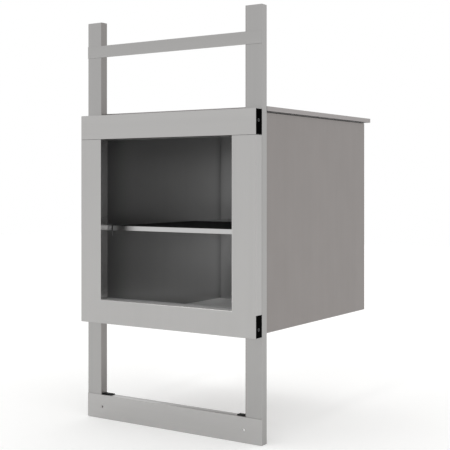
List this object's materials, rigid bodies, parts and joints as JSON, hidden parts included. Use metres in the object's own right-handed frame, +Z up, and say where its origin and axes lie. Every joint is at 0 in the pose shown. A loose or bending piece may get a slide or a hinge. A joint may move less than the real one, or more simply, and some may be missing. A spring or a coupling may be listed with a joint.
{
  "type": "dumbwaiter lift",
  "caption": "Dumbwaiter lift: a sheet-steel car with an open loading window and an inner shelf, sliding up and down on a two-post guide frame.",
  "frame": {"origin": "middle of the guide frame's foot: midway between the posts, at mid-depth of the posts, on the underside of the bottom crossbar", "axes": "+Z up along the posts, -Y towards the person loading the car, +X to that person's right"},
  "size_m": [0.7, 0.7978, 1.346],
  "materials": {
    "frame_steel": "satin brushed stainless steel, folded and welded, lines along each profile",
    "surround_steel": "satin brushed stainless steel sheet, fine lines",
    "case_steel": "dull stainless steel sheet",
    "liner_steel": "brushed stainless steel with a soft blurred reflection",
    "shoe_black": "black moulded polyamide",
    "roller_polymer": "off-white nylon",
    "buffer_rubber": "black moulded rubber",
    "belt_rubber": "black cord-reinforced rubber",
    "screw_steel": "bright turned steel",
    "bracket_steel": "zinc-coated steel",
    "pulley_aluminium": "turned aluminium",
    "bush_bronze": "plain sintered bronze",
    "mat_rubber": "plain black anti-slip rubber mat",
    "cover_board": "plain plywood, covered on every visible side"
  },
  "bodies": {
    "frame": {"post_left": "frame_steel", "post_right": "frame_steel", "top_crossbar": "frame_steel", "bottom_crossbar": "frame_steel", "buffer_left": "buffer_rubber", "buffer_right": "buffer_rubber", "belt_left": "belt_rubber", "belt_right": "belt_rubber", "shaft_bushes": "bush_bronze", "idler_axles": "screw_steel"},
    "drive_shaft": {"cross_shaft": "screw_steel", "drive_pulley_left": "pulley_aluminium", "drive_pulley_right": "pulley_aluminium"},
    "idler_left": {"idler_pulley_left": "pulley_aluminium"},
    "idler_right": {"idler_pulley_right": "pulley_aluminium"},
    "shelf": {"shelf_tray": "liner_steel", "shelf_mat": "mat_rubber"},
    "roller_upper_left": {"guide_roller_upper_left": "roller_polymer"},
    "roller_upper_right": {"guide_roller_upper_right": "roller_polymer"},
    "roller_lower_left": {"guide_roller_lower_left": "roller_polymer"},
    "roller_lower_right": {"guide_roller_lower_right": "roller_polymer"},
    "car": {"shoe_screws": "screw_steel", "rear_panel_screws": "screw_steel", "roller_axles": "screw_steel", "bracket_bolts": "screw_steel", "lower_frame": "surround_steel", "header_rail": "surround_steel", "slide_shoe_upper_left": "shoe_black", "slide_shoe_upper_right": "shoe_black", "slide_shoe_lower_left": "shoe_black", "slide_shoe_lower_right": "shoe_black", "sill": "liner_steel", "lintel": "liner_steel", "liner_left": "liner_steel", "liner_right": "liner_steel", "liner_back_wall": "liner_steel", "cabin_floor": "liner_steel", "cabin_ceiling": "liner_steel", "shelf_runner_left": "liner_steel", "shelf_runner_right": "liner_steel", "bottom_pan": "case_steel", "side_panel_left": "case_steel", "side_panel_right": "case_steel", "guide_plate_left": "case_steel", "guide_plate_right": "case_steel", "rear_post_left": "case_steel", "rear_post_right": "case_steel", "rear_panel": "case_steel", "top_cover": "case_steel", "cover_board": "cover_board", "roller_bracket_upper_left": "bracket_steel", "roller_bracket_upper_right": "bracket_steel", "roller_bracket_lower_left": "bracket_steel", "roller_bracket_lower_right": "bracket_steel", "belt_clamp_left": "bracket_steel", "belt_clamp_right": "bracket_steel"}
  },
  "joints": [
    {"name": "car_travel", "type": "slide", "parent": "frame", "child": "car", "axis": [0, 0, 1], "range_m": [-0.245, 0.185]},
    {"name": "cross_shaft_spin", "type": "hinge", "parent": "frame", "child": "drive_shaft", "pos_m": [0, 0.0005, 1.246], "axis": [1, 0, 0], "continuous": true},
    {"name": "idler_left_spin", "type": "hinge", "parent": "frame", "child": "idler_left", "pos_m": [-0.302, 0.0005, 0.04], "axis": [1, 0, 0], "continuous": true},
    {"name": "idler_right_spin", "type": "hinge", "parent": "frame", "child": "idler_right", "pos_m": [0.302, 0.0005, 0.04], "axis": [1, 0, 0], "continuous": true},
    {"name": "shelf_lift", "type": "slide", "parent": "car", "child": "shelf", "axis": [0, 0, 1], "range_m": [0, 0.06]},
    {"name": "roller_upper_left_spin", "type": "hinge", "parent": "car", "child": "roller_upper_left", "pos_m": [-0.324, -0.0017, 0.985], "axis": [1, 0, 0], "continuous": true},
    {"name": "roller_upper_right_spin", "type": "hinge", "parent": "car", "child": "roller_upper_right", "pos_m": [0.324, -0.0017, 0.985], "axis": [1, 0, 0], "continuous": true},
    {"name": "roller_lower_left_spin", "type": "hinge", "parent": "car", "child": "roller_lower_left", "pos_m": [-0.324, -0.0017, 0.3745], "axis": [1, 0, 0], "continuous": true},
    {"name": "roller_lower_right_spin", "type": "hinge", "parent": "car", "child": "roller_lower_right", "pos_m": [0.324, -0.0017, 0.3745], "axis": [1, 0, 0], "continuous": true}
  ],
  "couplings": [
    {"joint": "cross_shaft_spin", "follows": "car_travel", "rad_per_m": 94.787},
    {"joint": "idler_left_spin", "follows": "car_travel", "rad_per_m": 94.787},
    {"joint": "idler_right_spin", "follows": "car_travel", "rad_per_m": 94.787},
    {"joint": "roller_upper_left_spin", "follows": "car_travel", "rad_per_m": 100},
    {"joint": "roller_upper_right_spin", "follows": "car_travel", "rad_per_m": 100},
    {"joint": "roller_lower_left_spin", "follows": "car_travel", "rad_per_m": 100},
    {"joint": "roller_lower_right_spin", "follows": "car_travel", "rad_per_m": 100}
  ]
}
